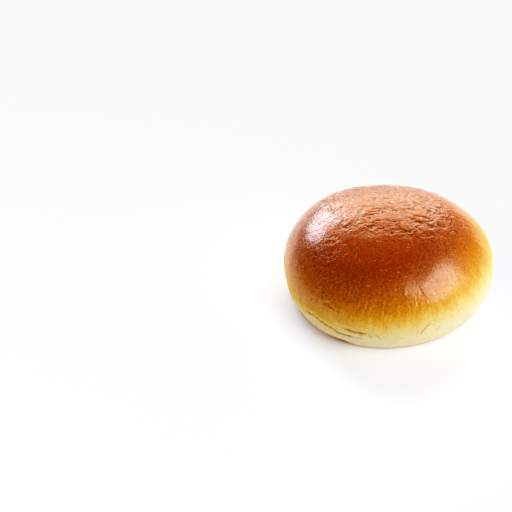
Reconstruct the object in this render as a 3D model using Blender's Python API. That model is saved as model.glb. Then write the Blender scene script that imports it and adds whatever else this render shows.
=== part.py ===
"""A whole brioche bun: one soft, glazed roll, risen round and a little uneven.

The bun is one closed solid. A flattened dome of dough swells over a narrower flat base, and its
skin was tucked under before proving, so folds run along its side just below the widest ring.
The origin is the middle of the flat base, with +Z up and the deepest fold on the -X, -Y side.

Run it with: blender --background --python part.py
"""

import math
from dataclasses import dataclass

import bmesh
import bpy
from mathutils import Vector, noise

MM = 0.001

# Driving sizes of the bun
WIDTH = 109.6 * MM  # along X, at the widest ring
HEIGHT = 48.2 * MM  # from the table to the crown
BELLY_SHARE = 0.313  # height of the widest ring, as a share of HEIGHT
CROWN_POWER = 2.08  # 2 is an ellipse, and more is flatter on top
LEAN = 0.043  # sideways drift to +X for each metre of rise

# The plan outline, as shares of its mean radius
OVAL = 0.020  # longer along X than along Y
TRIPLE_LOBE = 0.015
TRIPLE_LOBE_AT = math.radians(7)
FOUR_LOBE = -0.006
MEAN_RADIUS = WIDTH / 2 / (1 + OVAL + FOUR_LOBE)

BELLY_HEIGHT = HEIGHT * BELLY_SHARE
CROWN_RISE = HEIGHT - BELLY_HEIGHT

# The foot, where the dough met the baking sheet
RIM_HEIGHT = 1.7 * MM
RIM_LIFT = 2.4 * MM  # how far the sheet side curled up at its most
RIM_LIFT_AT = math.radians(224)
RIM_LIFT_SPREAD = math.radians(17)
RIM_RIPPLE, RIPPLES_PER_RADIAN = 0.3 * MM, 4
RIM_BEAD, RIM_BEAD_REACH = 0.45 * MM, 1.2 * MM
UNDERCUT = 1.7 * MM  # from the rim in to the flat base
UNDERCUT_PER_LIFT = 1.1
FOOT_STEPS = ((0.12, 0.78), (0.50, 0.30), (1.0, 0.0))  # shares of the way in and of the height
LOWEST_SKIN = 0.6 * MM

# Unevenness of the risen dough: size of the swells, how proud they stand, and where they fall
SWELL_SIZE, SWELL_DEPTH, SWELL_SHIFT = 34 * MM, 0.6 * MM, Vector((3.1, 0.4, 7.7))
DIMPLE_SIZE, DIMPLE_DEPTH, DIMPLE_SHIFT = 12 * MM, 0.30 * MM, Vector((11.3, 5.2, 0.9))
CRINKLE_SIZE, CRINKLE_DEPTH = 7.5 * MM, 0.35 * MM
CRINKLE_STRETCH = 2.0  # crinkles on the crown run longer along X
CRINKLE_REACH = 37 * MM  # from the middle of the crown outwards
CRINKLE_CREST = 0.3  # share of the depth that stands proud of the smooth skin
PUCKERS_PER_RADIAN, PUCKER_DEPTH = 7, 0.42 * MM  # upright puckers along the lower side
PUCKER_HEIGHT, PUCKER_REACH, PUCKER_LENGTH = 12 * MM, 9 * MM, 14 * MM

# A fold's section: how far above its groove each part lies, how far it reaches, and its share
# of the groove's depth
GROOVE_ABOVE, GROOVE_REACH = -0.1 * MM, 0.95 * MM
LIP_ABOVE, LIP_REACH, LIP_SHARE = 1.9 * MM, 1.9 * MM, 0.50
SETBACK_ABOVE, SETBACK_REACH, SETBACK_SHARE = -2.4 * MM, 2.3 * MM, 0.45
SAG_ABOVE, SAG_REACH, SAG_SHARE = 0.9 * MM, 0.8 * MM, 0.60

# The mesh: columns round the bun, and rows that gather where the folds run
COLUMNS = 128
CAP_SPAN = COLUMNS // 4  # squares along each side of the cap's grid
CAP_LATITUDE = math.radians(50)
CREASE_ROWS = tuple(row * MM for row in (2.7, 1.9, 1.25, 0.7, 0.25, -0.2, -0.8, -1.6))
TUCK_GAP = 4.6 * MM  # the least height from one gathering of rows to the next
ROWS_ABOVE, ROWS_BETWEEN, ROWS_BELOW = 8, 3, 5
SLOPE_STEP = 0.01  # radians either side of a point, to read the skin's direction

CRUST_BROWN = (0.40, 0.135, 0.028, 1)
CRUST_ROUGHNESS = 0.38


@dataclass
class Fold:
    """A fold in the skin, along a stretch of the side.

    `start` and `end` are azimuths in degrees, anticlockwise from +X seen from above. `heights`
    of its groove are spread evenly between them, and a smooth curve joins them. `depth` is the
    groove's, and the lip above it stands out and hangs down in proportion.
    """

    start: float
    end: float
    heights: tuple
    depth: float
    fade: float = 6.0

    def height_at(self, degrees):
        """The height of the groove at this azimuth, level beyond its ends."""
        along = (degrees - self.start) / (self.end - self.start) * (len(self.heights) - 1)
        along = min(max(along, 0.0), len(self.heights) - 1.001)
        before = int(along)
        share = eased(along - before)
        return self.heights[before] * (1 - share) + self.heights[before + 1] * share

    def inside(self, degrees):
        """How many degrees this azimuth lies within the fold, negative beyond its ends."""
        middle = (self.start + self.end) / 2
        away = abs((degrees - middle + 180) % 360 - 180)
        return (self.end - self.start) / 2 - away


@dataclass
class Tuck:
    """A line round the bun's side that some folds follow, and that rows of the mesh gather on."""

    rest_height: float
    folds: tuple
    settle: float = 16.0  # degrees beyond a fold's end where the line is back at rest

    def height_at(self, degrees):
        """The line's height at this azimuth."""
        height = self.rest_height
        for fold in self.folds:
            pull = eased(1 + fold.inside(degrees) / self.settle)
            height += pull * (fold.height_at(degrees) - self.rest_height)
        return height

    def push(self, degrees, height):
        """How far the tuck's folds push the skin out here, and how far they drag it down."""
        above = height - self.height_at(degrees)
        out, down = 0.0, 0.0
        for fold in self.folds:
            strength = fold.depth * eased(fold.inside(degrees) / fold.fade)
            groove = bump(above - GROOVE_ABOVE, GROOVE_REACH)
            lip = LIP_SHARE * bump(above - LIP_ABOVE, LIP_REACH)
            setback = SETBACK_SHARE * bump(above - SETBACK_ABOVE, SETBACK_REACH)
            out += strength * (lip - groove - setback)
            down += strength * SAG_SHARE * bump(above - SAG_ABOVE, SAG_REACH)
        return out, down


UPPER_TUCK = Tuck(
    16 * MM,
    (
        # The lip that hangs over the lower end of the long fold
        Fold(241, 265, (15.2 * MM, 15.0 * MM, 13.8 * MM), 2.0 * MM),
        # Shallower folds on the sides that face away
        Fold(26, 66, (15.0 * MM, 16.5 * MM, 15.5 * MM, 14.0 * MM), 1.1 * MM, 9.0),
        Fold(120, 156, (13.8 * MM, 15.2 * MM, 15.6 * MM), 1.2 * MM, 8.0),
    ),
)
LOWER_TUCK = Tuck(
    9 * MM,
    (
        # The long fold at the front left, which dives towards the base
        Fold(212, 255, (11.2 * MM, 14.6 * MM, 13.3 * MM, 10.3 * MM, 9.2 * MM), 2.0 * MM),
        Fold(92, 128, (8.5 * MM, 9.8 * MM, 9.0 * MM), 1.3 * MM, 8.0),
    ),
)


def eased(share):
    """A share from 0 to 1 with a soft start and end, and clamped outside."""
    share = min(max(share, 0.0), 1.0)
    return share * share * (3 - 2 * share)


def bump(distance, reach):
    """A bell: 1 at no distance, and near 0 past twice the reach."""
    return math.exp(-((distance / reach) ** 2))


def angle_between(one, other):
    """The smaller angle between two azimuths, in radians."""
    return abs((one - other + math.pi) % math.tau - math.pi)


def plan_radius(azimuth):
    """The widest ring's radius at this azimuth."""
    shape = 1 + OVAL * math.cos(2 * azimuth)
    shape += TRIPLE_LOBE * math.cos(3 * (azimuth - TRIPLE_LOBE_AT))
    shape += FOUR_LOBE * math.cos(4 * azimuth)
    return MEAN_RADIUS * shape


def body_point(azimuth, latitude):
    """A point of the smooth body. Latitude is 0 at the widest ring and 90 degrees at the crown."""
    power = CROWN_POWER if latitude > 0 else 2.0
    radius = plan_radius(azimuth) * abs(math.cos(latitude)) ** (2 / power)
    rise = CROWN_RISE * math.copysign(abs(math.sin(latitude)) ** (2 / power), latitude)
    across, along = radius * math.cos(azimuth), radius * math.sin(azimuth)
    return Vector((across + LEAN * rise, along, BELLY_HEIGHT + rise))


def latitude_of(height):
    """The latitude of the smooth body at a height above the table."""
    rise = (height - BELLY_HEIGHT) / CROWN_RISE
    power = CROWN_POWER if rise > 0 else 2.0
    return math.copysign(math.asin(min(1.0, abs(rise) ** (power / 2))), rise)


def outward(azimuth, latitude):
    """The direction that the smooth body faces at this point."""
    latitude = min(latitude, math.pi / 2 - 2 * SLOPE_STEP)
    round_it = body_point(azimuth + SLOPE_STEP, latitude) - body_point(azimuth - SLOPE_STEP, latitude)
    up_it = body_point(azimuth, latitude + SLOPE_STEP) - body_point(azimuth, latitude - SLOPE_STEP)
    return round_it.cross(up_it).normalized()


def crinkles(point):
    """Creases of the thin glazed skin on the crown, where it shrank as the bun cooled."""
    stretched = Vector((point.x / CRINKLE_STRETCH, point.y, point.z)) / CRINKLE_SIZE
    ridged = CRINKLE_CREST - abs(noise.noise(stretched)) * 2
    distance = math.hypot(point.x, point.y)
    return ridged * CRINKLE_DEPTH * (1 - eased(distance / CRINKLE_REACH))


def puckers(azimuth, height):
    """Upright puckers along the lower side, strongest between the folds and the belly."""
    around = Vector((math.cos(azimuth), math.sin(azimuth), 0)) * PUCKERS_PER_RADIAN
    around.z = height / PUCKER_LENGTH
    return noise.noise(around) * PUCKER_DEPTH * bump(height - PUCKER_HEIGHT, PUCKER_REACH)


def unevenness(point, azimuth):
    """How far the skin stands proud of the smooth body at this point, folds aside."""
    swells = noise.noise(point / SWELL_SIZE + SWELL_SHIFT) * SWELL_DEPTH
    dimples = noise.noise(point / DIMPLE_SIZE + DIMPLE_SHIFT) * DIMPLE_DEPTH
    bead = RIM_BEAD * bump(point.z - rim_height(azimuth), RIM_BEAD_REACH)
    return swells + dimples + crinkles(point) + puckers(azimuth, point.z) + bead


def rim_height(azimuth):
    """The height of the foot's edge: low all round, and curled up at the front left."""
    lift = RIM_LIFT * bump(angle_between(azimuth, RIM_LIFT_AT), RIM_LIFT_SPREAD)
    around = Vector((math.cos(azimuth), math.sin(azimuth), 0)) * RIPPLES_PER_RADIAN
    return RIM_HEIGHT + lift + noise.noise(around) * RIM_RIPPLE


def skin_point(azimuth, latitude):
    """A point of the real skin: the smooth body with its unevenness and its folds."""
    point = body_point(azimuth, latitude)
    degrees = math.degrees(azimuth) % 360
    pushes = [tuck.push(degrees, point.z) for tuck in (UPPER_TUCK, LOWER_TUCK)]
    proud = unevenness(point, azimuth) + sum(out for out, _ in pushes)
    moved = point + outward(azimuth, latitude) * proud
    moved.z = max(moved.z - sum(down for _, down in pushes), LOWEST_SKIN)
    return moved


def row_latitudes(azimuth):
    """The latitudes of the rows down one column, from under the cap to the rim."""
    degrees = math.degrees(azimuth) % 360
    lower_line = LOWER_TUCK.height_at(degrees)
    upper_line = max(UPPER_TUCK.height_at(degrees), lower_line + TUCK_GAP)
    lower = [latitude_of(lower_line + offset) for offset in CREASE_ROWS]
    upper = [latitude_of(upper_line + offset) for offset in CREASE_ROWS]
    rim = latitude_of(rim_height(azimuth))
    yield from spaced(CAP_LATITUDE, upper[0], ROWS_ABOVE)
    yield from upper[1:]
    yield from spaced(upper[-1], lower[0], ROWS_BETWEEN)
    yield from lower[1:]
    yield from spaced(lower[-1], rim, ROWS_BELOW)


def spaced(first, last, steps):
    """Evenly spaced values after the first, up to and with the last."""
    for step in range(1, steps + 1):
        yield first + (last - first) * step / steps


def foot_points(azimuth):
    """Points from under the rim in to the flat base, on the side that lay on the baking sheet."""
    edge = skin_point(azimuth, latitude_of(rim_height(azimuth)))
    inward = Vector((-math.cos(azimuth), -math.sin(azimuth), 0))
    depth = UNDERCUT + UNDERCUT_PER_LIFT * (rim_height(azimuth) - RIM_HEIGHT)
    for share_in, share_up in FOOT_STEPS:
        point = edge + inward * depth * share_in
        point.z = edge.z * share_up
        yield point


def add_cap(mesh):
    """Lays a grid of squares over the crown, and returns its edge vertices in order of azimuth."""
    made = bmesh.ops.create_grid(mesh, x_segments=CAP_SPAN, y_segments=CAP_SPAN, size=1)
    edge = []
    for vertex in made["verts"]:
        # The sines keep the columns even where the square grid meets the round rows
        across, along = (math.sqrt(2) * math.sin(c * math.pi / 4) for c in vertex.co.xy)
        disc = Vector((across * math.sqrt(1 - along**2 / 2), along * math.sqrt(1 - across**2 / 2)))
        azimuth = math.atan2(disc.y, disc.x)
        latitude = math.pi / 2 - min(disc.length, 1.0) * (math.pi / 2 - CAP_LATITUDE)
        if vertex.is_boundary:
            edge.append((azimuth % math.tau, vertex))
        vertex.co = skin_point(azimuth, latitude)
    edge.sort(key=lambda pair: pair[0])
    return [vertex for _, vertex in edge]


def bridge(mesh, upper, lower):
    """Joins two rings of as many vertices with squares that face outwards."""
    for here in range(COLUMNS):
        after = (here + 1) % COLUMNS
        mesh.faces.new((upper[after], upper[here], lower[here], lower[after]))


def centre_on_base(mesh):
    """Moves the bun so that its box is centred over the origin."""
    for axis in (0, 1):
        places = [vertex.co[axis] for vertex in mesh.verts]
        middle = (min(places) + max(places)) / 2
        for vertex in mesh.verts:
            vertex.co[axis] -= middle


def make_bun():
    """Builds the bun's solid and returns its object."""
    mesh = bmesh.new()
    upper = add_cap(mesh)
    columns = []
    for column in range(COLUMNS):
        azimuth = column * math.tau / COLUMNS
        side = [skin_point(azimuth, latitude) for latitude in row_latitudes(azimuth)]
        columns.append(side + list(foot_points(azimuth)))
    for row in zip(*columns):
        lower = [mesh.verts.new(point) for point in row]
        bridge(mesh, upper, lower)
        upper = lower
    mesh.faces.new(reversed(upper))
    centre_on_base(mesh)
    data = bpy.data.meshes.new("brioche_bun")
    mesh.to_mesh(data)
    mesh.free()
    data.shade_smooth()
    bun = bpy.data.objects.new("brioche_bun", data)
    bpy.context.scene.collection.objects.link(bun)
    return bun


def crust_material():
    """The baked crust: glazed golden brown with a satin shine."""
    material = bpy.data.materials.new("crust")
    material.use_nodes = True
    shader = material.node_tree.nodes["Principled BSDF"]
    shader.inputs["Base Color"].default_value = CRUST_BROWN
    shader.inputs["Roughness"].default_value = CRUST_ROUGHNESS
    shader.inputs["Metallic"].default_value = 0
    return material


def clear_scene():
    """Removes every object that the scene starts with."""
    for thing in list(bpy.data.objects):
        bpy.data.objects.remove(thing)


def main():
    """Builds the bun in an empty scene."""
    clear_scene()
    bun = make_bun()
    bun.data.materials.append(crust_material())


main()
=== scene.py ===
"""A whole brioche bun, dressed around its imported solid.

The bun's skin is a copy of the solid, smoothed and given the fine relief of baked dough: crinkles
on the crown, upright puckers below it and small creases beside the folds. The crust is browned by
its height, and less on the side that stayed cooler in the oven.
"""

import logging
import math
from dataclasses import dataclass
from enum import Enum
from typing import Union

import bpy
from mathutils import Color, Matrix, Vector


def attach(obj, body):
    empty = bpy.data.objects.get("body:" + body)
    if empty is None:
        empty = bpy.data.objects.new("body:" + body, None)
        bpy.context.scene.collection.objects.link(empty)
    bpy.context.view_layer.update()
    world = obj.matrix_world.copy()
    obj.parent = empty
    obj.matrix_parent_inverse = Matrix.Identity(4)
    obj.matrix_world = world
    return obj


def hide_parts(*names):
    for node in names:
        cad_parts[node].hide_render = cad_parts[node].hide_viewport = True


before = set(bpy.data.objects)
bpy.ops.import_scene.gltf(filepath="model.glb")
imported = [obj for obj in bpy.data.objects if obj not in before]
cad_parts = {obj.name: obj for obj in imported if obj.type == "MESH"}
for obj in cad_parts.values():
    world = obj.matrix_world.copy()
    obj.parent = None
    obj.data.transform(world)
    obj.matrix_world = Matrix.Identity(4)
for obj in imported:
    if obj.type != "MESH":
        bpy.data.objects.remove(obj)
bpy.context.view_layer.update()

LOG = logging.getLogger("brioche")
MM = 0.001
NODE = "brioche_bun"
BODY = "root"
# The radius of the bun's side, at which the patterns that run round it keep their size
BELLY_RADIUS = 50 * MM
# The value that Blender's noise varies about
NOISE_MIDDLE = 0.5
# How far along a crease its middle is
HALFWAY = 0.5
# The contrast curve for all colours alike, after those for red, green and blue
ALL_COLOURS = 3
# The sockets of a Mix node that take two colours, and the one that gives their blend
MIX_FIRST, MIX_SECOND = 6, 7
MIX_BLEND = 2
Colour = tuple[float, float, float, float]
Span = tuple[float, float]


class Mark(Enum):
    """Attributes that the relief leaves on the skin for the crust's finish, some of them for painted
    shade and highlights.
    """

    UNDERSIDE = "underside"
    # Painted shade in the folds and under their lips
    FOLD = "fold"
    # Painted shade in the creases, and the pale nicks below 0
    CREASE = "crease"
    CROWN = "crown"
    # The depth below the skin around, for painted shade in hollows and painted highlights on ridges
    HOLLOW = "hollow"


def linear(code: str) -> Colour:
    """Turns a colour code into the linear values that sockets take.

    Args:
        code: Six hexadecimal digits, as a colour picker shows them.

    Returns:
        Red, green, blue and an alpha of 1.
    """
    parts = [int(code[at : at + 2], 16) / 255 for at in (0, 2, 4)]
    return (*Color(parts).from_srgb_to_scene_linear(), 1.0)


def heading(degrees: float, rise: float = 0.0) -> Vector:
    """Turns two angles into a direction.

    Args:
        degrees: The azimuth from +X, in degrees.
        rise: The angle above the floor, in degrees.

    Returns:
        The direction, with a length of 1.
    """
    azimuth, above = math.radians(degrees), math.radians(rise)
    flat = math.cos(above)
    return Vector((math.cos(azimuth) * flat, math.sin(azimuth) * flat, math.sin(above)))


class Field:
    """A socket that takes part in expressions on numbers, each of which adds a Math node."""

    def __init__(self, graph: "Graph", socket: bpy.types.NodeSocket) -> None:
        """Wraps one output socket of the graph."""
        self.graph = graph
        self.socket = socket

    def __add__(self, other: "Number") -> "Field":
        """The sum."""
        return self.graph.maths("ADD", self, other)

    def __radd__(self, other: "Number") -> "Field":
        """The sum, with the number first."""
        return self.graph.maths("ADD", other, self)

    def __sub__(self, other: "Number") -> "Field":
        """The difference."""
        return self.graph.maths("SUBTRACT", self, other)

    def __rsub__(self, other: "Number") -> "Field":
        """The difference, with the number first."""
        return self.graph.maths("SUBTRACT", other, self)

    def __mul__(self, other: "Number") -> "Field":
        """The product."""
        return self.graph.maths("MULTIPLY", self, other)

    def __rmul__(self, other: "Number") -> "Field":
        """The product, with the number first."""
        return self.graph.maths("MULTIPLY", other, self)

    def __truediv__(self, other: "Number") -> "Field":
        """The quotient."""
        return self.graph.maths("DIVIDE", self, other)

    def __abs__(self) -> "Field":
        """The size, without its sign."""
        return self.graph.maths("ABSOLUTE", self)


Number = Union[Field, float]
Triple = Union[Field, tuple]


class Graph:
    """Builds the nodes of one tree, of a material or of a geometry modifier alike."""

    def __init__(self, tree: bpy.types.NodeTree) -> None:
        """Starts from an empty tree."""
        self.tree = tree
        tree.nodes.clear()

    def node(
        self, kind: str, settings: dict | None = None, inputs: dict | None = None
    ) -> bpy.types.Node:
        """Adds one node.

        Args:
            kind: The node's type.
            settings: Its settings by name, and a ramp's stops under "stops".
            inputs: A value or a link for each socket, by name or by place.

        Returns:
            The node.
        """
        node = self.tree.nodes.new(kind)
        settings = dict(settings or {})
        stops = settings.pop("stops", ())
        for name, value in settings.items():
            setattr(node, name, value)
        for at, (place, colour) in enumerate(stops):
            elements = node.color_ramp.elements
            element = elements[at] if at < len(elements) else elements.new(1.0)
            element.position = place
            element.color = colour
        for name, value in (inputs or {}).items():
            if isinstance(value, Field):
                self.tree.links.new(value.socket, node.inputs[name])
            else:
                node.inputs[name].default_value = value
        return node

    def field(self, node: bpy.types.Node, output: Union[int, str] = 0) -> Field:
        """Wraps a node's output."""
        return Field(self, node.outputs[output])

    def maths(self, operation: str, *values: Number) -> Field:
        """One Math node on up to three values."""
        node = self.node("ShaderNodeMath", {"operation": operation}, dict(enumerate(values)))
        return self.field(node)

    def vector(self, operation: str, *values: Triple) -> Field:
        """One Vector Math node whose result is a vector."""
        node = self.node("ShaderNodeVectorMath", {"operation": operation}, dict(enumerate(values)))
        return self.field(node)

    def measure(self, operation: str, *values: Triple) -> Field:
        """One Vector Math node whose result is a number."""
        node = self.node("ShaderNodeVectorMath", {"operation": operation}, dict(enumerate(values)))
        return self.field(node, "Value")

    def scaled(self, vector: Triple, by: Number) -> Field:
        """The vector times a number."""
        node = self.node("ShaderNodeVectorMath", {"operation": "SCALE"}, {0: vector, "Scale": by})
        return self.field(node)

    def parts(self, vector: Field) -> tuple[Field, Field, Field]:
        """The vector's three numbers."""
        node = self.node("ShaderNodeSeparateXYZ", {}, {0: vector})
        return self.field(node, 0), self.field(node, 1), self.field(node, 2)

    def joined(self, x: Number, y: Number, z: Number) -> Field:
        """A vector from three numbers."""
        return self.field(self.node("ShaderNodeCombineXYZ", {}, {0: x, 1: y, 2: z}))

    def noise(self, place: Field, size: float, detail: float = 2.0, distortion: float = 0.0) -> Field:
        """Soft noise about 0.

        Args:
            place: Where it is read.
            size: The size of its largest features, in metres.
            detail: How many finer layers it has.
            distortion: How much it is warped.

        Returns:
            Its value, mostly between -0.3 and 0.3.
        """
        inputs = {"Vector": place, "Scale": 1 / size, "Detail": detail, "Distortion": distortion}
        return self.field(self.node("ShaderNodeTexNoise", {}, inputs)) - NOISE_MIDDLE

    def drift(self, place: Field, size: float, reach: float) -> Field:
        """Moves the place about at random.

        Args:
            place: The place to start from.
            size: How far apart two places are that move on their own, in metres.
            reach: About three times how far it moves, in metres.

        Returns:
            The place to read a pattern at.
        """
        inputs = {"Vector": place, "Scale": 1 / size, "Detail": 1.0}
        cloud = self.field(self.node("ShaderNodeTexNoise", {}, inputs), "Color")
        away = self.vector("SUBTRACT", cloud, (NOISE_MIDDLE,) * 3)
        return self.vector("ADD", place, self.scaled(away, reach))

    def cells(self, place: Field, size: float) -> Field:
        """The distance to the nearest of many scattered points, as a share of the cell's size."""
        inputs = {"Vector": place, "Scale": 1 / size}
        return self.field(self.node("ShaderNodeTexVoronoi", {"feature": "F1"}, inputs), "Distance")

    def rising(self, value: Number, low: float, high: float) -> Field:
        """A soft step.

        Args:
            value: What it depends on.
            low: The value up to which it is 0.
            high: The value from which it is 1.

        Returns:
            The step, from 0 to 1.
        """
        settings = {"interpolation_type": "SMOOTHSTEP"}
        inputs = {"Value": value, "From Min": low, "From Max": high}
        return self.field(self.node("ShaderNodeMapRange", settings, inputs))

    def bell(self, value: Field, reach: float) -> Field:
        """1 where the value is 0, and near 0 past twice the reach."""
        ratio = value / reach
        return self.maths("EXPONENT", ratio * ratio * -1.0)

    def between(self, share: Field, low: float, high: float) -> Field:
        """The number that goes from low to high as the share goes from 0 to 1."""
        return share * (high - low) + low

    def toward(self, place: Field, degrees: float) -> Field:
        """How far the place lies towards an azimuth, in metres from the middle."""
        return self.measure("DOT_PRODUCT", place, tuple(heading(degrees)))

    def mixed(self, share: Number, first: Triple, second: Triple) -> Field:
        """A blend of two colours, all the second where the share is 1."""
        inputs = {0: share, MIX_FIRST: first, MIX_SECOND: second}
        return self.field(self.node("ShaderNodeMix", {"data_type": "RGBA"}, inputs), MIX_BLEND)

    def tinted(self, colour: Field, share: Number, tint: Colour) -> Field:
        """Multiplies a colour by a tint.

        Args:
            colour: The colour.
            share: How much of the tint it takes, from 0 to 1.
            tint: The tint.

        Returns:
            The tinted colour.
        """
        settings = {"data_type": "RGBA", "blend_type": "MULTIPLY"}
        inputs = {0: share, MIX_FIRST: colour, MIX_SECOND: tint}
        return self.field(self.node("ShaderNodeMix", settings, inputs), MIX_BLEND)


def around(graph: Graph, place: Field, stretch: float) -> Field:
    """A place unrolled on the side of the bun, for patterns that run up and down.

    Args:
        graph: The graph that it is worked out in.
        place: The place on the bun.
        stretch: How many times longer than wide the pattern becomes.

    Returns:
        The place to read a pattern at.
    """
    x, y, z = graph.parts(place)
    outward = graph.scaled(graph.vector("NORMALIZE", graph.joined(x, y, 0.0)), BELLY_RADIUS)
    across, along, _ = graph.parts(outward)
    return graph.joined(across, along, z / stretch)


@dataclass(frozen=True)
class Patches:
    """Soft patches at random.

    The size is that of the largest, in metres. The edge holds the values of the noise at which a
    patch begins and at which it is full.
    """

    size: float
    edge: Span
    detail: float = 2.0

    def at(self, graph: Graph, place: Field) -> Field:
        """1 in the patches, and 0 between them."""
        return graph.rising(graph.noise(place, self.size, self.detail), *self.edge)


@dataclass(frozen=True)
class Waver:
    """A soft change to and fro, by the size of its waves in metres and its reach."""

    size: float
    reach: float
    detail: float = 2.0

    def at(self, graph: Graph, place: Field) -> Field:
        """The change at a place, about 0."""
        return graph.noise(place, self.size, self.detail) * self.reach


@dataclass(frozen=True)
class Wrinkles:
    """Wrinkles of a thin skin that shrank: round backs between narrow valleys.

    The spacing of the valleys is in metres. The stretch is how many times longer than wide the
    wrinkles are. The noise size and the two sizes of the straying are shares of the spacing.
    """

    spacing: float
    stretch: float
    noise_size: float = 1.7
    detail: float = 2.5
    warp: float = 0.6
    valley: float = 0.10
    stray_size: float = 3.0
    stray_reach: float = 1.6

    def backs(self, graph: Graph, drawn: Field) -> Field:
        """Works out the wrinkles' height.

        Args:
            graph: The graph that it is worked out in.
            drawn: The place on the bun, drawn out along the wrinkles.

        Returns:
            The height, from 0 in a valley to 1.
        """
        strayed = graph.drift(drawn, self.stray_size * self.spacing, self.stray_reach * self.spacing)
        noise = graph.noise(strayed, self.noise_size * self.spacing, self.detail, self.warp)
        return graph.rising(abs(noise), 0.0, self.valley)

    def along_x(self, graph: Graph, place: Field) -> Field:
        """The height of wrinkles that run along X."""
        x, y, z = graph.parts(place)
        return self.backs(graph, graph.joined(x / self.stretch, y, z))

    def upright(self, graph: Graph, place: Field) -> Field:
        """The height of wrinkles that run up and down the side."""
        return self.backs(graph, around(graph, place, self.stretch))


@dataclass(frozen=True)
class Crease:
    """A short crease in the side of the bun.

    Each end is an azimuth in degrees from +X and a height in millimetres. The depth and the width
    are in millimetres.
    """

    start: tuple[float, float]
    end: tuple[float, float]
    depth: float
    width: float


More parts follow.
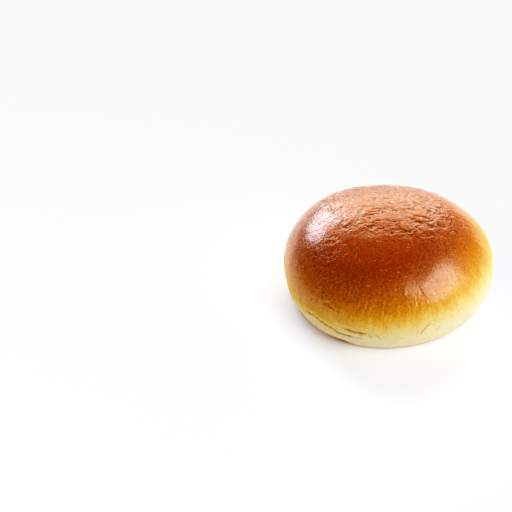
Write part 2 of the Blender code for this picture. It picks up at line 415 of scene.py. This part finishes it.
@dataclass
class Skin:
    """The bun's skin, with the sizes of its fine relief."""

    merge: float = 1e-6
    smoothing: int = 2
    base_top: float = 0.01 * MM
    base_rings: tuple[float, ...] = (1.2 * MM, 3.6 * MM, 6 * MM, 6 * MM, 6 * MM, 6 * MM)
    # The heights between which the relief grows, so that the base stays flat
    settling: Span = (0.3 * MM, 2.5 * MM)
    # The passes of blur that find the hollows, the skin beside a fold and its lip
    hollow_blur: int = 8
    beside_blur: int = 7
    lip_blur: int = 20
    # How far a fold lies below the skin around it, or a lip above, in millimetres
    fold_edge: Span = (0.03, 0.14)
    lip_edge: Span = (-0.13, -0.06)
    beside_edge: Span = (0.05, 0.5)
    fold_depth: float = 0.9 * MM
    # The crown, whose ragged edge lies lower at the left, and the pits below it there
    crown_at: Span = (0.0, 10 * MM)
    crown_reach: Span = (42 * MM, 28 * MM)
    crown_lean: float = 0.25
    crown_edge: Span = (0.40, 1.15)
    crown_ragged: Waver = Waver(10 * MM, 1.6, 3.0)
    crown_foot: Span = (18 * MM, 28 * MM)
    pitted_at: tuple[float, float, float] = (-32 * MM, -17 * MM, 36 * MM)
    pitted_edge: Span = (5 * MM, 15 * MM)
    pitted_ragged: Waver = Waver(6 * MM, 8 * MM)
    pitted_share: float = 0.8
    # How much of a wrinkle's height lies below the skin
    wrinkle_level: float = 0.8
    crinkle: Wrinkles = Wrinkles(1.9 * MM, 1.4)
    crinkle_depth: float = 0.30 * MM
    crinkled: Patches = Patches(7 * MM, (-0.12, 0.10))
    crinkle_least: float = 0.25
    swelling: Waver = Waver(5.5 * MM, 0.50 * MM, 1.5)
    pucker: Wrinkles = Wrinkles(1.7 * MM, 3.6)
    pucker_depth: float = 0.25 * MM
    puckered: Patches = Patches(8 * MM, (-0.15, 0.10))
    pucker_foot: Span = (12 * MM, 19 * MM)
    pucker_top: Span = (31 * MM, 40 * MM)
    pucker_front: float = 262.0
    pucker_arc: Span = (0.45, 0.90)
    pucker_least: float = 0.3
    peel: Waver = Waver(2.0 * MM, 0.16 * MM, 1.0)
    # The browned lower edge: its height all round, and where the foot curls up and shows more
    rim_height: float = 0.9 * MM
    rim_edge: Span = (0.6, 1.1)
    rim_ragged: Waver = Waver(4 * MM, 1.6 * MM)
    curled_height: float = 5.0 * MM
    curled_at: float = 216.0
    curled_arc: Span = (0.80, 0.98)
    # The underside: how steeply it faces down, and how high it reaches
    facing_down: Span = (-0.80, -0.55)
    underside_top: Span = (5 * MM, 7 * MM)
    # The creases: how they stray and fade out, and their lips in widths and depths of a crease
    stray_size: float = 3.0 * MM
    stray_reach: float = 1.6 * MM
    crease_fading: float = 1.2
    crease_lip_at: float = 1.9
    crease_lip_width: float = 0.8
    crease_lip_height: float = 0.35
    # How much painted shade a crease leaves for each millimetre of its depth
    crease_shade: float = 2.0
    creases: tuple[Crease, ...] = (
        # The short fold above the long one, and upright wrinkles beside it
        Crease((226.5, 23.2), (230.5, 24.4), 0.27, 0.50),
        Crease((230.5, 24.4), (236.0, 22.8), 0.33, 0.55),
        Crease((226.4, 24.2), (224.6, 28.4), 0.22, 0.50),
        Crease((227.5, 25.0), (231.0, 26.0), -0.14, 0.40),
        Crease((236.6, 25.0), (240.2, 20.0), -0.14, 0.40),
        Crease((210.4, 18.2), (212.9, 14.6), 0.35, 0.50),
        Crease((218.0, 18.5), (218.8, 22.5), 0.20, 0.50),
        # Pale nicks in the golden band
        Crease((277.0, 30.4), (278.8, 27.0), -0.24, 0.36),
        Crease((282.6, 30.6), (281.4, 27.0), -0.22, 0.36),
        Crease((270.4, 28.8), (271.6, 25.4), -0.20, 0.34),
        Crease((289.0, 30.8), (290.9, 28.0), -0.22, 0.36),
        Crease((293.6, 33.6), (295.6, 31.4), -0.22, 0.36),
        Crease((263.2, 27.4), (262.2, 24.0), -0.18, 0.34),
        Crease((286.4, 34.4), (284.4, 31.2), -0.18, 0.34),
        # The long fold's open mouth, and the lip above its lower end
        Crease((214.0, 10.6), (221.6, 12.6), 0.50, 0.50),
        Crease((221.0, 12.6), (228.4, 11.8), 0.42, 0.50),
        Crease((227.4, 11.8), (234.6, 11.0), 0.50, 0.55),
        Crease((234.0, 11.0), (240.0, 8.9), 0.55, 0.60),
        Crease((239.4, 8.9), (245.0, 7.9), 0.60, 0.60),
        Crease((244.4, 7.9), (251.3, 9.6), 0.60, 0.65),
        Crease((242.8, 14.2), (247.8, 13.4), 0.36, 0.50),
        Crease((247.2, 13.4), (254.0, 13.0), 0.46, 0.60),
        Crease((253.4, 13.2), (260.4, 14.6), 0.42, 0.50),
        # The fan of wrinkles between the two folds
        Crease((251.5, 13.0), (251.0, 9.6), 0.45, 0.60),
        Crease((255.2, 13.6), (258.0, 9.2), 0.30, 0.45),
        Crease((260.1, 14.0), (262.4, 9.4), 0.25, 0.45),
        Crease((262.5, 15.0), (266.0, 20.0), 0.28, 0.50),
        # Slanted creases at the right of the front
        Crease((284.6, 12.8), (287.2, 16.4), 0.40, 0.50),
        Crease((286.8, 16.0), (290.4, 18.9), 0.34, 0.50),
        Crease((282.1, 12.4), (283.3, 16.4), 0.30, 0.45),
        Crease((274.6, 12.6), (272.8, 10.2), 0.22, 0.45),
        Crease((271.6, 18.6), (272.4, 20.4), 0.30, 0.50),
        Crease((294.0, 12.5), (297.0, 17.0), 0.28, 0.45),
    )

    def build(self) -> bpy.types.Object:
        """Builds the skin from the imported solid.

        Returns:
            The finished piece, with its place in its mesh.
        """
        skin = self.copy_of_solid()
        self.turn_to_quads(skin)
        self.frame_the_base(skin)
        self.smooth(skin)
        self.raise_relief(skin)
        return skin

    def copy_of_solid(self) -> bpy.types.Object:
        """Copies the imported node's mesh into a new object, and selects it alone.

        Returns:
            The new object.
        """
        skin = bpy.data.objects.new("bun_crust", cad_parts[NODE].data.copy())
        bpy.context.scene.collection.objects.link(skin)
        bpy.ops.object.select_all(action="DESELECT")
        skin.select_set(True)
        bpy.context.view_layer.objects.active = skin
        return skin

    def turn_to_quads(self, skin: bpy.types.Object) -> None:
        """Merges the loose triangles, and pairs those of the skin above the base.

        Args:
            skin: The copy of the solid.
        """
        bpy.ops.mesh.customdata_custom_splitnormals_clear()
        bpy.ops.object.mode_set(mode="EDIT")
        bpy.ops.mesh.select_all(action="SELECT")
        bpy.ops.mesh.remove_doubles(threshold=self.merge)
        self.select_base(skin)
        bpy.ops.mesh.dissolve_faces()
        bpy.ops.mesh.select_all(action="INVERT")
        bpy.ops.mesh.tris_convert_to_quads(face_threshold=math.pi, shape_threshold=math.pi)
        bpy.ops.object.mode_set(mode="OBJECT")

    def select_base(self, skin: bpy.types.Object) -> None:
        """Selects the faces that lie on the table. It starts and ends in edit mode.

        Args:
            skin: The copy of the solid.
        """
        bpy.ops.mesh.select_mode(type="FACE")
        bpy.ops.mesh.select_all(action="DESELECT")
        bpy.ops.object.mode_set(mode="OBJECT")
        corners = skin.data.vertices
        for face in skin.data.polygons:
            face.select = all(corners[corner].co.z < self.base_top for corner in face.vertices)
        bpy.ops.object.mode_set(mode="EDIT")

    def frame_the_base(self, skin: bpy.types.Object) -> None:
        """Insets the base ring by ring, so that smoothing leaves its edge where it is.

        Args:
            skin: The copy of the solid.
        """
        bpy.ops.object.mode_set(mode="EDIT")
        self.select_base(skin)
        for width in self.base_rings:
            bpy.ops.mesh.inset(thickness=width, depth=0)
        bpy.ops.object.mode_set(mode="OBJECT")

    def smooth(self, skin: bpy.types.Object) -> None:
        """Rounds the facets with a Subdivision Surface modifier, and applies it.

        Args:
            skin: The copy of the solid.
        """
        bpy.ops.object.modifier_add(type="SUBSURF")
        modifier = skin.modifiers[-1]
        modifier.levels = modifier.render_levels = self.smoothing
        bpy.ops.object.modifier_apply(modifier=modifier.name)
        bpy.ops.object.shade_smooth()

    def raise_relief(self, skin: bpy.types.Object) -> None:
        """Moves the skin along its normals by the relief, and leaves the attributes of Mark.

        Args:
            skin: The smoothed skin.
        """
        tree = bpy.data.node_groups.new("bun relief", "GeometryNodeTree")
        tree.interface.new_socket("Geometry", in_out="INPUT", socket_type="NodeSocketGeometry")
        tree.interface.new_socket("Geometry", in_out="OUTPUT", socket_type="NodeSocketGeometry")
        graph = Graph(tree)
        start = graph.field(graph.node("NodeGroupInput"))
        place = graph.field(graph.node("GeometryNodeInputPosition"))
        normal = graph.field(graph.node("GeometryNodeInputNormal"))
        height = graph.parts(place)[2]
        crown = self.crown_mask(graph, place)
        creased, crease = self.pressed_creases(graph, skin, place)
        relief = self.crown_crinkles(graph, place) * crown + self.puckers(graph, place)
        relief = relief + self.peel.at(graph, place) + creased
        fold = self.folded(graph, place, normal)
        relief = relief - fold * self.fold_depth
        kept = self.store(graph, start, Mark.UNDERSIDE, self.baked_below(graph, place, normal))
        # The folds and the skin under their lips, which the crust darkens as painted shade; the folds
        # are also pressed deeper
        kept = self.store(graph, kept, Mark.FOLD, fold)
        # How deep in a crease each point is: the crust paints it as shade, and pale where it is below 0
        kept = self.store(graph, kept, Mark.CREASE, crease)
        kept = self.store(graph, kept, Mark.CROWN, crown)
        inputs = {"Geometry": kept}
        inputs["Offset"] = graph.scaled(normal, relief * graph.rising(height, *self.settling))
        moved = graph.field(graph.node("GeometryNodeSetPosition", {}, inputs))
        # The depth below the skin around, which the crust paints as shade in hollows and as highlights
        # on ridges
        hollow = self.hollow(graph, place, normal, self.hollow_blur)
        kept = self.store(graph, moved, Mark.HOLLOW, hollow)
        graph.node("NodeGroupOutput", {}, {0: kept})
        bpy.ops.object.modifier_add(type="NODES")
        modifier = skin.modifiers[-1]
        modifier.node_group = tree
        bpy.ops.object.modifier_apply(modifier=modifier.name)

    def store(self, graph: Graph, geometry: Field, mark: Mark, value: Field) -> Field:
        """Keeps a value on the skin's points.

        Args:
            graph: The modifier's graph.
            geometry: The skin so far.
            mark: The name that the value is kept under.
            value: The value at each point.

        Returns:
            The skin with the value.
        """
        settings = {"data_type": "FLOAT", "domain": "POINT"}
        inputs = {"Geometry": geometry, "Name": mark.value, "Value": value}
        return graph.field(graph.node("GeometryNodeStoreNamedAttribute", settings, inputs))

    def hollow(self, graph: Graph, place: Field, normal: Field, reach: int) -> Field:
        """Measures how far each point lies below the skin around it.

        Args:
            graph: The modifier's graph.
            place: Where each point is.
            normal: Which way the skin faces.
            reach: The passes of blur that take in the skin around it.

        Returns:
            The depth in millimetres, below 0 on a ridge.
        """
        settings = {"data_type": "FLOAT_VECTOR"}
        inputs = {"Value": place, "Iterations": reach}
        blurred = graph.field(graph.node("GeometryNodeBlurAttribute", settings, inputs))
        rise = graph.vector("SUBTRACT", blurred, place)
        return graph.measure("DOT_PRODUCT", rise, normal) / MM

    def folded(self, graph: Graph, place: Field, normal: Field) -> Field:
        """Finds the solid's folds and the skin that they hang over, but not their lips.

        Args:
            graph: The modifier's graph.
            place: Where each point is.
            normal: Which way the skin faces.

        Returns:
            1 in a fold, and 0 away from it.
        """
        groove = graph.rising(self.hollow(graph, place, normal, self.hollow_blur), *self.fold_edge)
        inputs = {"Value": groove, "Iterations": self.beside_blur}
        spread = graph.field(graph.node("GeometryNodeBlurAttribute", {"data_type": "FLOAT"}, inputs))
        off_lip = graph.rising(self.hollow(graph, place, normal, self.lip_blur), *self.lip_edge)
        return graph.maths("MAXIMUM", groove, graph.rising(spread, *self.beside_edge) * off_lip)

    def crown_mask(self, graph: Graph, place: Field) -> Field:
        """Finds the crown, where the glazed skin shrank.

        Args:
            graph: The modifier's graph.
            place: Where each point is.

        Returns:
            1 on the crown, fading to 0 down the sides.
        """
        x, y, z = graph.parts(place)
        across = (x - self.crown_at[0]) / self.crown_reach[0]
        along = (y + x * self.crown_lean - self.crown_at[1]) / self.crown_reach[1]
        outwards = across * across + along * along + self.crown_ragged.at(graph, place)
        inside = 1 - graph.rising(outwards, *self.crown_edge)
        inside = inside * graph.rising(z, *self.crown_foot)
        away = graph.measure("DISTANCE", place, self.pitted_at) + self.pitted_ragged.at(graph, place)
        pitted = (1 - graph.rising(away, *self.pitted_edge)) * self.pitted_share
        return graph.maths("MAXIMUM", inside, pitted)

    def baked_below(self, graph: Graph, place: Field, normal: Field) -> Field:
        """Finds the browned underside and its edge, which shows most where the foot curls up.

        Args:
            graph: The modifier's graph.
            place: Where each point is.
            normal: Which way the skin faces.

        Returns:
            1 where the dough is browned from below, and 0 elsewhere.
        """
        height = graph.parts(place)[2]
        downward = 1 - graph.rising(graph.parts(normal)[2], *self.facing_down)
        underside = downward * (1 - graph.rising(height, *self.underside_top))
        curled = graph.rising(graph.toward(place, self.curled_at) / BELLY_RADIUS, *self.curled_arc)
        top = graph.between(curled, self.rim_height, self.curled_height)
        ragged = height + self.rim_ragged.at(graph, place)
        edge = 1 - graph.rising(ragged / top, *self.rim_edge)
        return graph.maths("MAXIMUM", underside, edge)

    def crown_crinkles(self, graph: Graph, place: Field) -> Field:
        """Works out the crinkles and low swellings of the crown's skin.

        Args:
            graph: The modifier's graph.
            place: Where each point is.

        Returns:
            Their height in metres.
        """
        backs = self.crinkle.along_x(graph, place)
        patchy = graph.between(self.crinkled.at(graph, place), self.crinkle_least, 1.0)
        sunk = (backs - self.wrinkle_level) * patchy * self.crinkle_depth
        return sunk + self.swelling.at(graph, place)

    def puckers(self, graph: Graph, place: Field) -> Field:
        """Works out the upright puckers of the side, which are strongest at the front.

        Args:
            graph: The modifier's graph.
            place: Where each point is.

        Returns:
            Their height in metres.
        """
        backs = self.pucker.upright(graph, place)
        height = graph.parts(place)[2]
        band = graph.rising(height, *self.pucker_foot) * (1 - graph.rising(height, *self.pucker_top))
        front = graph.rising(graph.toward(place, self.pucker_front) / BELLY_RADIUS, *self.pucker_arc)
        strength = graph.between(front, self.pucker_least, 1.0) * self.puckered.at(graph, place)
        return (self.wrinkle_level - backs) * band * strength * self.pucker_depth

    def pressed_creases(
        self, graph: Graph, skin: bpy.types.Object, place: Field
    ) -> tuple[Number, Number]:
        """Works out the short creases.

        Args:
            graph: The modifier's graph.
            skin: The smoothed skin, on which the ends are found.
            place: Where each point is.

        Returns:
            Their height in metres, and how deep in one each point is, from 0 to 1, which the crust
            paints as shade.
        """
        strayed = graph.drift(place, self.stray_size, self.stray_reach)
        height: Number = 0.0
        shade: Number = 0.0
        for crease in self.creases:
            start = self.on_skin(skin, *crease.start)
            run = self.on_skin(skin, *crease.end) - start
            offset = graph.vector("SUBTRACT", strayed, tuple(start))
            share = graph.measure("DOT_PRODUCT", offset, tuple(run)) / run.length_squared
            share = graph.maths("MINIMUM", graph.maths("MAXIMUM", share, 0.0), 1.0)
            away = graph.measure("DISTANCE", offset, graph.scaled(tuple(run), share))
            fading = 1 - abs(share - HALFWAY) * self.crease_fading
            width = crease.width * MM
            groove = graph.bell(away, width) * fading
            beside = away - self.crease_lip_at * width
            lip = graph.bell(beside, self.crease_lip_width * width) * fading
            height = height + (lip * self.crease_lip_height - groove) * (crease.depth * MM)
            shade = shade + groove * (self.crease_shade * crease.depth)
        return height, shade

    def on_skin(self, skin: bpy.types.Object, degrees: float, height: float) -> Vector:
        """Finds a point of the skin.

        Args:
            skin: The smoothed skin.
            degrees: The azimuth from +X, in degrees.
            height: The height above the table, in millimetres.

        Returns:
            The point.
        """
        outward = heading(degrees)
        origin = outward * (2 * BELLY_RADIUS) + Vector((0, 0, height * MM))
        found, place, _, _ = skin.ray_cast(origin, -outward)
        if not found:
            raise ValueError(f"no skin at {degrees} degrees and {height} mm")
        return place


@dataclass(frozen=True)
class Crust:
    """The finish of the bun: pale dough at the foot, browned and glazed towards the crown."""

    # Colours by how far above the golden line a place is, in millimetres
    bakes: tuple[tuple[float, str], ...] = (
        (-18.0, "e8dab6"),
        (-12.0, "e8d8ae"),
        (-8.0, "e5d19c"),
        (-4.0, "e0c47c"),
        (-1.0, "dcb158"),
        (2.0, "d59d36"),
        (6.0, "ca811f"),
        (10.0, "bc6c1c"),
        (14.0, "ac5b1b"),
        (19.0, "994617"),
        (23.0, "a04c18"),
    )
    # The golden line rises away from its heading. It is mottled, with upright streaks along it
    golden_line: float = 23.2 * MM
    line_tilt: float = 0.15
    line_heading: float = 12.0
    line_width: float = 9 * MM
    mottle: Waver = Waver(15 * MM, 5 * MM, 3.0)
    fine_mottle: Waver = Waver(1.8 * MM, 5 * MM, 3.0)
    streak: float = 2.6 * MM
    streak_detail: float = 3.0
    streak_stretch: float = 4.5
    streak_reach: Span = (3 * MM, 7.5 * MM)
    stray_size: float = 6 * MM
    stray_reach: float = 2 * MM
    # How browned the crust is where it turns glossy, and where it takes the browned details
    glossy_from: Span = (0.30, 0.62)
    browned_from: Span = (0.35, 0.75)
    # The shares of a detail on pale dough and on browned crust
    speckle: Patches = Patches(0.9 * MM, (-0.08, 0.20), 3.0)
    speckle_shares: Span = (0.20, 0.70)
    speckle_tint: str = "bca898"
    # Painted shade in hollows, stronger on browned crust
    hollow_shade_edge: Span = (0.01, 0.10)
    hollow_shade_shares: Span = (0.2, 1.0)
    hollow_shade_tint: str = "b08048"
    # Painted highlights on the ridges
    ridge_highlight_edge: Span = (-0.16, -0.05)
    ridge_highlight_share: float = 0.16
    ridge_highlight_colour: str = "ecb468"
    # Painted shade in the creases, and the pale colour of the nicks
    crease_shade_edge: Span = (0.0, 1.1)
    crease_shade_tint: str = "c49a48"
    nick_edge: Span = (-0.5, 0.0)
    nick_share: float = 0.7
    nick_colour: str = "f0cc80"
    # Painted shade in the folds and under their lips
    fold_shade_tint: str = "b88438"
    # Painted glints: tiny pale dots over the browned crust
    glint_spacing: float = 1.45 * MM
    glint_edge: Span = (0.08, 0.24)
    glint_share: float = 0.9
    glint_colour: str = "e0a070"
    glinting: Patches = Patches(3 * MM, (-0.12, 0.10))
    underside_light: str = "c88a3c"
    underside_dark: str = "9a5a1e"
    blotches: Patches = Patches(8 * MM, (-0.15, 0.15), 3.0)
    pale_roughness: float = 0.75
    browned_roughness: float = 0.20
    rough_patches: Waver = Waver(4 * MM, 0.16, 3.0)
    gloss: float = 0.70
    gloss_colour: str = "ffdfbc"
    softness: float = 0.05
    soft_depth: float = 2 * MM
    soft_depths: tuple[float, float, float] = (1.0, 0.5, 0.25)
    # The egg wash, and the place at the right front where the brush left a broken pool of it
    glaze: float = 0.16
    glaze_patches: Waver = Waver(3 * MM, 0.6)
    glaze_roughness: float = 0.17
    pool_heading: float = 304.0
    pool_radius: float = 38 * MM
    pool_height: float = 35 * MM
    pool_edge: Span = (8 * MM, 20 * MM)
    pool_ragged: Waver = Waver(5 * MM, 14 * MM, 3.0)
    pool_broken: Patches = Patches(1.4 * MM, (-0.16, 0.02), 3.0)
    pool_least: float = 0.25
    pool_glaze: float = 0.75
    # The grain, weaker on pale dough, the tiny domes and the finest crinkles
    grain: Waver = Waver(0.75 * MM, 0.11 * MM)
    grain_shares: Span = (0.6, 1.0)
    dome_spacing: float = 1.3 * MM
    dome_edge: Span = (0.0, 0.5)
    dome_height: float = 0.03 * MM
    fine_crinkle: Wrinkles = Wrinkles(1.3 * MM, 1.8)
    fine_depth: float = 0.06 * MM

    def material(self) -> bpy.types.Material:
        """Builds the material.

        Returns:
            The crust, which reads Object coordinates and the attributes of Mark.
        """
        material = bpy.data.materials.new("brioche crust")
        material.use_nodes = True
        graph = Graph(material.node_tree)
        place = graph.field(graph.node("ShaderNodeTexCoord"), "Object")
        browning = self.browning(graph, place)
        glazed = graph.rising(browning, *self.glossy_from)
        inputs = {
            "Base Color": self.colour(graph, place, browning),
            "Roughness": self.roughness(graph, place, glazed),
            "Coat Weight": glazed * self.glaze_weight(graph, place),
            "Normal": self.bumps(graph, place, glazed),
            "Coat Roughness": self.glaze_roughness,
            "Specular IOR Level": self.gloss,
            "Specular Tint": linear(self.gloss_colour),
            "Subsurface Weight": self.softness,
            "Subsurface Radius": self.soft_depths,
            "Subsurface Scale": self.soft_depth,
        }
        shader = graph.field(graph.node("ShaderNodeBsdfPrincipled", {}, inputs))
        graph.node("ShaderNodeOutputMaterial", {}, {"Surface": shader})
        return material

    def browning(self, graph: Graph, place: Field) -> Field:
        """Works out how browned the crust is.

        Args:
            graph: The material's graph.
            place: The place on the bun.

        Returns:
            0 where the dough is pale, and 1 at its darkest.
        """
        z = graph.parts(place)[2]
        leaning = graph.toward(place, self.line_heading)
        rise = z - self.golden_line - leaning * self.line_tilt
        near_line = graph.bell(rise, self.line_width)
        unrolled = around(graph, place, self.streak_stretch)
        strayed = graph.drift(unrolled, self.stray_size, self.stray_reach)
        streaks = graph.noise(strayed, self.streak, self.streak_detail)
        rise = rise + self.mottle.at(graph, place)
        rise = rise + streaks * graph.between(near_line, *self.streak_reach)
        rise = rise + self.fine_mottle.at(graph, place)
        low, high = self.bakes[0][0] * MM, self.bakes[-1][0] * MM
        return (rise - low) / (high - low)

    def colour(self, graph: Graph, place: Field, browning: Field) -> Field:
        """Works out the colour, with its speckles, painted shade and highlights, and the baked
        underside.

        Args:
            graph: The material's graph.
            place: The place on the bun.
            browning: How browned it is there.

        Returns:
            The colour.
        """
        low, high = self.bakes[0][0], self.bakes[-1][0]
        stops = [((rise - low) / (high - low), linear(code)) for rise, code in self.bakes]
        colour = graph.field(graph.node("ShaderNodeValToRGB", {"stops": stops}, {"Fac": browning}))
        browned = graph.rising(browning, *self.browned_from)
        speckle = self.speckle.at(graph, place) * graph.between(browned, *self.speckle_shares)
        colour = graph.tinted(colour, speckle, linear(self.speckle_tint))
        # Painted shade in the creases, then the pale nicks
        crease = self.mark(graph, Mark.CREASE)
        colour = graph.tinted(colour, graph.rising(crease, *self.crease_shade_edge), linear(self.crease_shade_tint))
        nick = (1 - graph.rising(crease, *self.nick_edge)) * self.nick_share
        colour = graph.mixed(nick, colour, linear(self.nick_colour))
        # Painted shade in the hollows
        depth = self.mark(graph, Mark.HOLLOW)
        hollow = graph.rising(depth, *self.hollow_shade_edge) * graph.between(browned, *self.hollow_shade_shares)
        colour = graph.tinted(colour, hollow, linear(self.hollow_shade_tint))
        # Painted highlights on the ridges
        ridge = (1 - graph.rising(depth, *self.ridge_highlight_edge)) * self.ridge_highlight_share
        colour = graph.mixed(ridge, colour, linear(self.ridge_highlight_colour))
        # Painted shade in the folds and under their lips
        colour = graph.tinted(colour, self.mark(graph, Mark.FOLD), linear(self.fold_shade_tint))
        # Painted glints
        colour = graph.mixed(self.painted_glints(graph, place) * browned, colour, linear(self.glint_colour))
        light, dark = linear(self.underside_light), linear(self.underside_dark)
        baked = graph.mixed(self.blotches.at(graph, place), light, dark)
        return graph.mixed(self.mark(graph, Mark.UNDERSIDE), colour, baked)

    def painted_glints(self, graph: Graph, place: Field) -> Field:
        """Painted glints: tiny pale dots scattered over the browned crust."""
        spots = 1 - graph.rising(graph.cells(place, self.glint_spacing), *self.glint_edge)
        return spots * self.glinting.at(graph, place) * self.glint_share

    def mark(self, graph: Graph, mark: Mark) -> Field:
        """Reads what the relief left on the skin under a mark's name."""
        node = graph.node("ShaderNodeAttribute", {"attribute_name": mark.value})
        return graph.field(node, "Fac")

    def glaze_weight(self, graph: Graph, place: Field) -> Field:
        """Works out how thick the egg wash is: patchy, and thickest where the brush left most.

        Args:
            graph: The material's graph.
            place: The place on the bun.

        Returns:
            The weight of the coat where the crust is glossy.
        """
        pool = heading(self.pool_heading) * self.pool_radius + Vector((0, 0, self.pool_height))
        away = graph.measure("DISTANCE", place, tuple(pool)) + self.pool_ragged.at(graph, place)
        pooled = 1 - graph.rising(away, *self.pool_edge)
        pooled = pooled * graph.between(self.pool_broken.at(graph, place), self.pool_least, 1.0)
        return self.glaze_patches.at(graph, place) + self.glaze + pooled * self.pool_glaze

    def roughness(self, graph: Graph, place: Field, glazed: Field) -> Field:
        """The roughness: matt dough below, satin crust above."""
        smoothed = graph.between(glazed, self.pale_roughness, self.browned_roughness)
        return smoothed + self.rough_patches.at(graph, place)

    def bumps(self, graph: Graph, place: Field, glazed: Field) -> Field:
        """Makes the grain of the crust and its finest crinkles.

        Args:
            graph: The material's graph.
            place: The place on the bun.
            glazed: How glossy the crust is there, from 0 to 1.

        Returns:
            The normal.
        """
        grain = self.grain.at(graph, place) * graph.between(glazed, *self.grain_shares)
        between_domes = graph.rising(graph.cells(place, self.dome_spacing), *self.dome_edge)
        domes = between_domes * glazed * self.dome_height
        crown = self.mark(graph, Mark.CROWN)
        fine = self.fine_crinkle.along_x(graph, place) * crown * glazed * self.fine_depth
        height = grain - domes + fine
        bump = graph.node("ShaderNodeBump", {}, {"Strength": 1.0, "Distance": 1.0, "Height": height})
        return graph.field(bump)


@dataclass(frozen=True)
class Softbox:
    """A soft light panel that faces the bun.

    The azimuth and the rise are in degrees, the width and height in metres, and the brightness is
    that of the panel's face, where white paper in the scene is about 1.
    """

    name: str
    azimuth: float
    rise: float
    distance: float
    width: float
    height: float
    brightness: float
    tint: str = "ffffff"

    def place(self) -> None:
        """Sets up the panel as an area light."""
        data = bpy.data.lights.new(self.name, "AREA")
        data.shape = "RECTANGLE"
        data.size = self.width
        data.size_y = self.height
        data.energy = self.brightness * math.pi * self.width * self.height
        data.color = linear(self.tint)[:3]
        panel = bpy.data.objects.new(self.name, data)
        toward = heading(self.azimuth, self.rise)
        panel.location = toward * self.distance
        panel.rotation_euler = toward.to_track_quat("Z", "Y").to_euler()
        panel.visible_camera = False
        bpy.context.scene.collection.objects.link(panel)


@dataclass
class Studio:
    """The floor, the lights and the camera."""

    floor_side: float = 8.0
    floor_colour: str = "f2f4f5"
    floor_roughness: float = 0.8
    surroundings: str = "ffffff"
    surroundings_brightness: float = 0.38
    floor_glow: float = 0.14
    # The picture's contrast: how bright a thing is shown, and how bright it is
    contrast: tuple[tuple[float, float], ...] = (
        (0.0, 0.015),
        (0.014, 0.05),
        (0.088, 0.12),
        (0.2, 0.2),
        (0.49, 0.4),
        (0.75, 0.6),
        (0.94, 0.8),
        (1.0, 0.9),
    )
    lens: float = 120.0
    sensor: float = 36.0
    camera_at: tuple[float, float, float] = (-0.06934, -0.67022, 0.60378)
    camera_tilt: float = 49.0
    panels: tuple[Softbox, ...] = (
        Softbox("back panel", 88.0, 28.0, 1.3, 1.12, 0.94, 3.9, "ffeede"),
        Softbox("left softbox", 122.0, 22.0, 1.3, 0.52, 0.42, 11.0, "dae7ff"),
        Softbox("right panel", 2.0, 32.0, 1.3, 0.70, 1.00, 0.9, "fff4ea"),
        Softbox("right front panel", 332.0, 37.0, 1.4, 1.10, 1.05, 3.0),
    )

    def build(self) -> None:
        """Sets up the whole studio."""
        self.lay_floor()
        self.light_surroundings()
        for panel in self.panels:
            panel.place()
            LOG.info("%s at %.0f degrees", panel.name, panel.azimuth)
        self.set_camera()
        self.set_contrast()

    def set_contrast(self) -> None:
        """Shows the picture through the contrast curve."""
        view = bpy.context.scene.view_settings
        view.view_transform = "Standard"
        view.use_curve_mapping = True
        curve = view.curve_mapping.curves[ALL_COLOURS]
        for shown, taken in self.contrast:
            curve.points.new(taken, shown)
        view.curve_mapping.update()

    def lay_floor(self) -> None:
        """Lays the white floor, which isn't part of the bun."""
        bpy.ops.object.select_all(action="DESELECT")
        bpy.ops.mesh.primitive_plane_add(size=self.floor_side, location=(0, 0, 0))
        floor = bpy.context.object
        floor.name = "floor"
        material = bpy.data.materials.new("white table")
        material.use_nodes = True
        graph = Graph(material.node_tree)
        white = linear(self.floor_colour)
        inputs = {"Base Color": white, "Roughness": self.floor_roughness}
        inputs |= {"Emission Color": white, "Emission Strength": self.floor_glow}
        shader = graph.field(graph.node("ShaderNodeBsdfPrincipled", {}, inputs))
        graph.node("ShaderNodeOutputMaterial", {}, {"Surface": shader})
        floor.data.materials.append(material)

    def light_surroundings(self) -> None:
        """Fills the rest of the room with an even, dim light."""
        world = bpy.data.worlds.new("room")
        world.use_nodes = True
        graph = Graph(world.node_tree)
        inputs = {"Color": linear(self.surroundings), "Strength": self.surroundings_brightness}
        light = graph.field(graph.node("ShaderNodeBackground", {}, inputs))
        graph.node("ShaderNodeOutputWorld", {}, {"Surface": light})
        bpy.context.scene.world = world

    def set_camera(self) -> None:
        """Places the camera at the angle and the distance of the picture."""
        data = bpy.data.cameras.new("camera")
        data.lens = self.lens
        data.sensor_width = self.sensor
        camera = bpy.data.objects.new("camera", data)
        camera.location = self.camera_at
        camera.rotation_euler = (math.radians(self.camera_tilt), 0, 0)
        bpy.context.scene.collection.objects.link(camera)
        bpy.context.scene.camera = camera


def main() -> None:
    """Builds the bun and the studio."""
    logging.basicConfig(level=logging.INFO, format="%(name)s: %(message)s")
    skin = Skin().build()
    skin.data.materials.clear()
    skin.data.materials.append(Crust().material())
    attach(skin, BODY)
    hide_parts(NODE)
    LOG.info("%s: %d faces", skin.name, len(skin.data.polygons))
    Studio().build()


if __name__ == "__main__":
    main()
